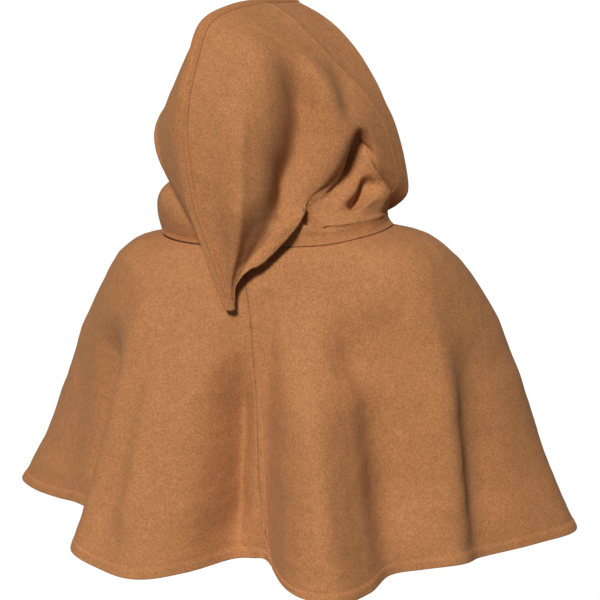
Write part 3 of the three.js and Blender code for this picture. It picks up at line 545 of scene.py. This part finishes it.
def thread_mesh(name, runs):
    """Stitches along the runs: each is a short rounded bar that dips into the cloth at its ends."""
    bar = table(("along", "thick", "lift"), (-0.5, 0.4, -0.35), (-0.3, 0.95, 0.1), (0, 1, 0.3),
                (0.3, 0.95, 0.1), (0.5, 0.4, -0.35))
    sides, rings = 6, len(bar["along"])
    around = np.arange(sides) * math.pi / 3
    ring = np.arange(sides * (rings - 1))
    beside = ring // sides * sides + (ring + 1) % sides
    quads = np.stack([ring, ring + sides, beside + sides, beside], -1)
    cap = np.array([(0, 1, 2, 3), (0, 3, 4, 5)])
    quads = np.vstack([quads[:, ::-1], cap[:, ::-1], cap + len(ring)])
    vertices, faces, count = [], [], 0
    chance = np.random.default_rng(len(name))
    for points, normals in runs:
        run = np.concatenate([[0], np.cumsum(np.linalg.norm(np.diff(points, axis=0), axis=-1))])
        stops = np.arange(STITCH_PITCH, run[-1] - STITCH_PITCH, STITCH_PITCH)
        stops = stops + chance.uniform(-STITCH_SHIFT, STITCH_SHIFT, len(stops)) * STITCH_PITCH

        def places_at(values, distance):
            return np.stack([np.interp(distance, run, values[:, k]) for k in range(3)], -1)

        place, out = places_at(points, stops), unit(places_at(normals, stops))
        ahead = unit(places_at(points, stops + 1) - places_at(points, stops - 1))
        across = unit(np.cross(out, ahead))
        ahead = unit(ahead + across * chance.uniform(-STITCH_LEAN, STITCH_LEAN, (len(stops), 1)))
        across = np.cross(out, ahead)
        turn = across[:, None] * np.cos(around)[:, None] + out[:, None] * np.sin(around)[:, None]
        turn = turn[:, None]
        middle = place[:, None] + ahead[:, None] * (bar["along"] * STITCH_LENGTH)[:, None]
        middle = middle + out[:, None] * bar["lift"][:, None] * STITCH_RADIUS
        body = middle[:, :, None] + turn * (bar["thick"] * STITCH_RADIUS)[:, None, None]
        vertices.append(body.reshape(-1, 3))
        faces.append((quads + count + sides * rings * np.arange(len(stops))[:, None, None]).reshape(-1, 4))
        count += sides * rings * len(stops)
    return mesh_object(name, np.vstack(vertices), np.vstack(faces), THREAD)


# Materials: scale, detail and roughness of each noise, and the ends of its ramp.
FIBRE_NOISE, BLOTCH_NOISE, AREA_NOISE = (420, 3, 0.7), (95, 3, 0.6), (14, 2, 0.5)
FIBRE_RAMP, BLOTCH_RAMP, AREA_RAMP = (0.34, 0.66), (0.32, 0.68), (0.3, 0.7)
BLOTCH_TINTS = ((0.93, 0.95, 0.90), (1.06, 1.04, 1.06))
AREA_TINTS = ((0.97, 0.97, 0.95), (1.03, 1.02, 1.04))
NAP_NOISE, NAP_DEPTH = (900, 4, 0.7), 0.0006
WOOL_SURFACE = {"Roughness": 0.95, "Specular IOR Level": 0.15, "Sheen Weight": 0.1, "Sheen Roughness": 0.5,
                "Sheen Tint": (1.0, 0.7, 0.45, 1)}


def wool(name, colour, spread, bump):
    """Fulled wool: mixed light and dark fibres, a soft nap and a little sheen."""
    material = bpy.data.materials.new(name)
    material.use_nodes = True
    nodes, links = material.node_tree.nodes, material.node_tree.links
    shader = nodes["Principled BSDF"]
    for socket, value in WOOL_SURFACE.items():
        shader.inputs[socket].default_value = value
    place = nodes.new("ShaderNodeTexCoord")

    def noise(scale, detail, roughness):
        node = nodes.new("ShaderNodeTexNoise")
        node.inputs["Scale"].default_value = scale
        node.inputs["Detail"].default_value = detail
        node.inputs["Roughness"].default_value = roughness
        links.new(place.outputs["Object"], node.inputs["Vector"])
        return node.outputs["Fac"]

    def ramp(fac, low, high, dark, light):
        node = nodes.new("ShaderNodeValToRGB")
        node.color_ramp.elements[0].position, node.color_ramp.elements[1].position = low, high
        node.color_ramp.elements[0].color = (*dark, 1)
        node.color_ramp.elements[1].color = (*light, 1)
        links.new(fac, node.inputs["Fac"])
        return node.outputs["Color"]

    def multiply(a, b):
        node = nodes.new("ShaderNodeMix")
        node.data_type, node.blend_type = "RGBA", "MULTIPLY"
        node.inputs["Factor"].default_value = 1
        links.new(a, node.inputs["A"])
        links.new(b, node.inputs["B"])
        return node.outputs["Result"]

    low = tuple(c * (1 - s * spread) for c, s in zip(colour, FIBRE_SPREAD))
    high = tuple(c * (1 + s * spread) for c, s in zip(colour, FIBRE_SPREAD))
    fibres = ramp(noise(*FIBRE_NOISE), *FIBRE_RAMP, low, high)
    blotches = ramp(noise(*BLOTCH_NOISE), *BLOTCH_RAMP, *BLOTCH_TINTS)
    areas = ramp(noise(*AREA_NOISE), *AREA_RAMP, *AREA_TINTS)
    links.new(multiply(multiply(fibres, blotches), areas), shader.inputs["Base Color"])
    nap = nodes.new("ShaderNodeBump")
    nap.inputs["Strength"].default_value = bump
    nap.inputs["Distance"].default_value = NAP_DEPTH
    links.new(noise(*NAP_NOISE), nap.inputs["Height"])
    links.new(nap.outputs["Normal"], shader.inputs["Normal"])
    return material


CLOTH_COLOUR = (0.435, 0.187, 0.073)
FIBRE_SPREAD = (1, 1.25, 1.7)
SEAM_SHADE, THREAD_SHADE = 0.97, 1.4
CLOTH_NAP, THREAD_NAP = (0.19, 0.55), (0.1, 0.2)
WOOL = wool("wool_cloth", CLOTH_COLOUR, *CLOTH_NAP)
SEAM_WOOL = wool("seam_cloth", tuple(c * SEAM_SHADE for c in CLOTH_COLOUR), *CLOTH_NAP)
THREAD = wool("thread", tuple(c * THREAD_SHADE for c in CLOTH_COLOUR), *THREAD_NAP)

# The two halves of the hood
HOOD_COLUMNS = steps_along((0.006, 3), (FACE_HEM_WIDTH / CROWN_LENGTH, 10), (0.985, 196), (1, 6))
HOOD_LINES = steps_along((0.012, 6), (0.05, 8), (0.95, 120), (0.988, 10), (1, 8))
S, T = np.meshgrid(HOOD_COLUMNS, HOOD_LINES, indexing="ij")

# Round the top of the face the cloth is turned back in a wider soft edge than the hem's.
TURN_REACH, TURN_STEP = {1: 41, -1: 30}, 2.2
TURN_NARROWS, TURN_SOFTNESS = (0.17, 0.36), 16
TURN_GROWS, TURN_STARTS = (2, 12), (0.01, 0.05)
HOOD_SEED, CAPE_SEED = 11, 31


def turned_edge(side, t):
    """How far the turned cloth reaches in from the face edge."""
    return FACE_HEM_WIDTH + TURN_REACH[side] * (1 - ease(*TURN_NARROWS, t))


hood_points, hood_normals, hood_down = {}, {}, {}
for side in (1, -1):
    grid = HOOD[side](S, T)
    # The two parts of the surface meet at an angle along the widest line, which is rounded off here.
    near_widest = np.exp(-((T[:, 1:-1] - WIDEST_SHARE) / SMOOTH_SHARE) ** 2)[..., None]
    for _ in range(SMOOTH_ROUNDS):
        middle = (grid[:, :-2] + grid[:, 2:]) / 2
        grid[:, 1:-1] += (middle - grid[:, 1:-1]) * 0.5 * near_widest
    normals = grid_normals(grid, side)
    along, down = run_lengths(grid, 0), run_lengths(grid, 1)
    from_lower = down[:, -1:] - down
    detail = wrinkles(S * CROWN_LENGTH, T * SIDE_LENGTH, HOOD_SEED + side, HOOD_WRINKLES)
    detail *= ease(*CROWN_CALM, down) * ease(*LOWER_CALM, from_lower)
    on_neck = 1 - ease(*NECK_GROOVES_END, S)
    detail += on_neck * sum(groove(from_lower, at, *NECK_GROOVE) for at in NECK_STITCHES)
    detail += groove(from_lower, 0, *EDGE_GROOVE)
    turned = turned_edge(side, T)
    on_turn = ease(*TURN_GROWS, turned - FACE_HEM_WIDTH) * ease(*TURN_STARTS, T)
    step = TURN_STEP * (1 - ease(-TURN_SOFTNESS, 0, along - turned))
    detail -= on_turn * (groove(along, turned, *TURN_GROOVE) + step)
    detail += (1 - on_turn) * groove(along, FACE_HEM_WIDTH, *FACE_HEM_GROOVE)
    grid = grid + normals * detail[..., None]
    hood_points[side] = grid
    hood_normals[side] = grid_normals(grid, side)
    hood_down[side] = run_lengths(grid, 1)

mitre = unit(hood_normals[1][:, 0] + hood_normals[-1][:, 0])
under_mitre = unit(hood_normals[1][:, -1] + hood_normals[-1][:, -1])
hood_pieces = {}
for side, name in ((1, "right"), (-1, "left")):
    normals = hood_normals[side]
    near = (1 - ease(0, MITRE_REACH, hood_down[side]))[..., None]
    normals = unit(normals * (1 - near) + mitre[:, None] * near)
    seam_angle = side * 180 + (NAPE_ANGLE - side * 180) * np.clip(HOOD_COLUMNS / NAPE_SHARE, 0, 1)
    past_nape = (HOOD_COLUMNS > NAPE_SHARE)[:, None]
    edge = np.where(past_nape, under_mitre, unit(around_neck(seam_angle, 1.0, 1.0)))
    near = ease(LOWER_TURN_START, 1, T)[..., None]
    normals = unit(normals * (1 - near) + edge[:, None] * near)
    outer = hood_points[side]
    inner = outer - normals * WALL
    vertices, faces = closed_sheet(outer, inner, side < 0, rounded=("s0",))
    piece = mesh_object(f"hood_{name}_cloth", vertices, faces, WOOL)
    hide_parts(f"hood_{name}")
    columns = HOOD_COLUMNS <= FACE_HEM_WIDTH / CROWN_LENGTH + 1e-6
    lines = HOOD_LINES <= CREASE_SHARE
    patch, out = outer[columns][:, lines], normals[columns][:, lines]
    vertices, faces = closed_sheet(*inner_layer(patch, out), side < 0, rounded=("s0", "s1"))
    hem = mesh_object(f"face_hem_{name}_cloth", vertices, faces, WOOL)
    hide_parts(f"face_hem_{name}")
    on_neck = HOOD_COLUMNS <= NAPE_SHARE - NECK_SEAM_END
    lines = HOOD_LINES >= 1 - (1 - CREASE_SHARE) * NECK_SEAM_WIDTH / COLLAR_HEIGHT
    patch, out = outer[on_neck][:, lines], normals[on_neck][:, lines]
    vertices, faces = closed_sheet(*inner_layer(patch, out), side < 0)
    allowance = mesh_object(f"neck_seam_{name}_cloth", vertices, faces, SEAM_WOOL)
    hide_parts(f"neck_seam_{name}")
    upward, out = outer[on_neck][:, ::-1], normals[on_neck][:, ::-1]
    runs = [line_at(upward, out, run_lengths(upward, 1), distance) for distance in NECK_STITCHES]
    on_hem = (HOOD_LINES > FACE_STITCHES_START) & (HOOD_LINES < CREASE_SHARE)
    inward, out = (grid[:, on_hem].transpose(1, 0, 2) for grid in (outer, normals))
    turned = turned_edge(side, HOOD_LINES[on_hem])
    runs.append(line_at(inward, out, run_lengths(inward, 1), turned))
    hood_pieces[side] = (piece, hem, allowance, thread_mesh(f"hood_{name}_stitches", runs))

# The raised seam down the crown and the peak: its height at each distance to the right of its groove.
SEAM_PROFILE = table(
    ("at", "height"),
    (-7.6, 0), (-6.9, 0.9), (-5.8, 1.1), (-4.6, 2.1), (-3, 2.9), (-1.6, 2.5), (-0.9, 1.2), (0, 0),
    (0.9, 1.2), (1.7, 2.4), (3, 1.9), (5.5, 1.6), (8.2, 1.8), (9.4, 0.6), (10.6, 1.7), (11.8, 1.5),
    (12.6, 0),
)
SEAM_LINES, SEAM_SINK, SEAM_MOST = 57, 1.4, 0.45


def beside_seam(offset):
    """Points and normals of the hood at a distance from the crown seam, to the right if positive."""
    side = 1 if offset >= 0 else -1
    reach = np.minimum(abs(offset), SEAM_MOST * hood_down[side][:, -1])
    points, normals = line_at(hood_points[side], hood_normals[side], hood_down[side], reach)
    near = 1 - min(1, abs(offset) / MITRE_REACH)
    return points, unit(normals * (1 - near) + mitre * near)


def seam_height(offset):
    return float(rows_at(SEAM_PROFILE, "height", np.array([offset]))[0])


def thread_line(offset):
    """Where a thread lies on the raised seam, and which way is out."""
    points, out = beside_seam(offset)
    return points + out * (seam_height(offset) + THREAD_LIFT), out


seam_outer, seam_inner = [], []
for offset in np.linspace(SEAM_PROFILE["at"][0], SEAM_PROFILE["at"][-1], SEAM_LINES):
    points, out = beside_seam(offset)
    seam_outer.append(points + out * seam_height(offset))
    seam_inner.append(points - out * SEAM_SINK)
seam_outer, seam_inner = np.stack(seam_outer, 1), np.stack(seam_inner, 1)
vertices, faces = closed_sheet(seam_outer, seam_inner, False, rounded=("s0", "s1"))
crown_seam = mesh_object("crown_seam_cloth", vertices, faces, SEAM_WOOL)
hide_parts("crown_seam")
seam_runs = [thread_line(offset) for offset in SEAM_STITCHES]
tip_lines = [thread_line(offset) for offset in np.linspace(-TIP_REACH, TIP_REACH, TIP_PLACES)]
for share in TIP_STITCHES:
    row = np.searchsorted(HOOD_COLUMNS, share)
    seam_runs.append(tuple(np.array([line[part][row] for line in tip_lines]) for part in (0, 1)))
crown_stitches = thread_mesh("crown_stitches", seam_runs)

# The two halves of the cape
CAPE_LINES = steps_along((0.012, 7), (0.04, 6), (1 - CAPE_HEM_WIDTH / CAPE_LENGTH, 104), (1, 12))
CAPE_START, DEGREE_RUN = 0.0005, 4.2
FRONT_PLANE = (0, 1, 1)
seam_at_hem = BACK_SEAM_ROWS["angle"][-1]
cape_pieces = {}
for side, name in ((1, "right"), (-1, "left")):
    hem_angles = seam_at_hem + (side * 180 - seam_at_hem) * steps_along((0.01, 5), (0.99, 240), (1, 4))
    A, V = np.meshgrid(hem_angles, CAPE_LINES, indexing="ij")
    pull = 1 - ease(0, BACK_SEAM_PULL, np.abs(A - seam_at_hem))
    leaned = A + (rows_at(BACK_SEAM_ROWS, "angle", V) - seam_at_hem) * pull
    grid = cape_point(leaned, np.maximum(V, CAPE_START))
    normals = grid_normals(grid, -side)
    # At the front seam the outward directions of both halves lie in its plane, so that they meet.
    normals[-1] = unit(normals[-1] * FRONT_PLANE)
    down, along = run_lengths(grid, 1), run_lengths(grid, 0)
    from_hem = down[:, -1:] - down
    from_front = along[-1:] - along
    detail = wrinkles(leaned * DEGREE_RUN, V * CAPE_LENGTH, CAPE_SEED + side, CAPE_WRINKLES)
    calm = ease(*NECK_CALM, down) * ease(*BACK_CALM, along)
    detail *= calm * ease(*HEM_CALM, from_hem) * ease(*FRONT_CALM, from_front)
    seams = groove(along, 0, *SEAM_GROOVE) + groove(from_front, 0, *SEAM_GROOVE)
    detail += seams + groove(down, 0, *EDGE_GROOVE)
    detail += groove(along, BACK_STITCHES, *BACK_STITCH_GROOVE)
    detail += groove(from_hem, CAPE_HEM_WIDTH, *CAPE_HEM_GROOVE)
    detail += CAPE_HEM_RISE * (1 - ease(CAPE_HEM_WIDTH - CAPE_HEM_EASE, CAPE_HEM_WIDTH, from_hem))
    grid = grid + normals * detail[..., None]
    normals = grid_normals(grid, -side)
    normals[-1] = unit(normals[-1] * FRONT_PLANE)
    near = (1 - ease(0, NECK_TURN_REACH, run_lengths(grid, 1)))[..., None]
    normals = unit(normals * (1 - near) + unit(around_neck(leaned, 1.0, 1.0)) * near)
    inner = grid - normals * WALL
    vertices, faces = closed_sheet(grid, inner, side > 0, rounded=("t1",))
    piece = mesh_object(f"cape_{name}_cloth", vertices, faces, WOOL)
    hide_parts(f"cape_{name}")
    lines = CAPE_LINES >= 1 - CAPE_HEM_WIDTH / CAPE_LENGTH - 1e-6
    patch, out = grid[:, lines], normals[:, lines]
    vertices, faces = closed_sheet(*inner_layer(patch, out), side > 0, rounded=("t1", "t0"))
    hem = mesh_object(f"cape_hem_{name}_cloth", vertices, faces, WOOL)
    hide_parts(f"cape_hem_{name}")
    upward, out = grid[:, ::-1], normals[:, ::-1]
    runs = [line_at(upward, out, run_lengths(upward, 1), CAPE_HEM_WIDTH)]
    if side > 0:
        lines = CAPE_LINES > BACK_STITCHES_START
        across, out = (part[:, lines].transpose(1, 0, 2) for part in (grid, normals))
        runs.append(line_at(across, out, run_lengths(across, 1), BACK_STITCHES))
    cape_pieces[side] = (piece, hem, thread_mesh(f"cape_{name}_stitches", runs))

# Each half is one cloth, with the pieces sewn on to it
for side in (1, -1):
    panel, *sewn_on = hood_pieces[side]
    if side > 0:
        sewn_on += [crown_seam, crown_stitches]
    panel, *sewn_on = cape_pieces[side]

# The camera looks from behind, a little from the right and from above. Its distance is in metres.
BACK = Vector((-0.25, 0.933, 0.2588)).normalized()
RIGHT = Vector((-0.9659, -0.2588, 0)).normalized()
UP = BACK.cross(RIGHT)
AIM_RIGHT, AIM_DOWN, DISTANCE = 27.5, 90, 2.8
aim = (RIGHT * AIM_RIGHT - UP * AIM_DOWN + Vector(PLACED)) * MM
data = bpy.data.cameras.new("camera")
data.lens, data.sensor_width, data.clip_end = 134.4, 36, 200
camera = bpy.data.objects.new("camera", data)
turn = Matrix((RIGHT, UP, BACK)).transposed().to_4x4()
camera.matrix_world = Matrix.Translation(aim + BACK * DISTANCE) @ turn
bpy.context.scene.collection.objects.link(camera)
bpy.context.scene.camera = camera

# A plain pale floor, in metres, that throws no light on the cloth
FLOOR_REACH, FLOOR_LEVEL, FLOOR_GLOW = 60, -1.7, 0.28
corners = [(x * FLOOR_REACH, y * FLOOR_REACH, FLOOR_LEVEL) for x, y in ((-1, -1), (1, -1), (1, 1), (-1, 1))]
floor_mesh = bpy.data.meshes.new("floor")
floor_mesh.from_pydata(corners, [], [(0, 1, 2, 3)])
floor = bpy.data.objects.new("floor", floor_mesh)
pale = bpy.data.materials.new("pale_floor")
pale.use_nodes = True
pale_shader = pale.node_tree.nodes["Principled BSDF"]
pale_shader.inputs["Base Color"].default_value = (0.95, 0.95, 0.95, 1)
pale_shader.inputs["Roughness"].default_value = 1
pale_shader.inputs["Emission Color"].default_value = (1, 1, 1, 1)
pale_shader.inputs["Emission Strength"].default_value = FLOOR_GLOW
floor_mesh.materials.append(pale)
bpy.context.scene.collection.objects.link(floor)
floor.visible_diffuse = False


def sun(name, direction, strength, spread):
    """A soft light from a direction, its spread in degrees."""
    light = bpy.data.lights.new(name, "SUN")
    light.energy, light.angle = strength, math.radians(spread)
    lamp = bpy.data.objects.new(name, light)
    lamp.matrix_world = direction.to_track_quat("Z", "Y").to_matrix().to_4x4()
    bpy.context.scene.collection.objects.link(lamp)


# The light comes from the camera's side, to the left of it and higher.
KEY_LEFT, KEY_UP = math.radians(15), math.radians(40)
KEY_STRENGTH, KEY_SPREAD, STUDIO_STRENGTH = 3.35, 13, 0.13
level = Vector((BACK.x, BACK.y, 0)).normalized() * math.cos(KEY_LEFT) - RIGHT * math.sin(KEY_LEFT)
sun("key", level * math.cos(KEY_UP) + Vector((0, 0, math.sin(KEY_UP))), KEY_STRENGTH, KEY_SPREAD)
world = bpy.data.worlds.new("studio")
world.use_nodes = True
world.node_tree.nodes["Background"].inputs["Color"].default_value = (1, 1, 1, 1)
world.node_tree.nodes["Background"].inputs["Strength"].default_value = STUDIO_STRENGTH
bpy.context.scene.world = world
bpy.context.scene.view_settings.view_transform = "Standard"
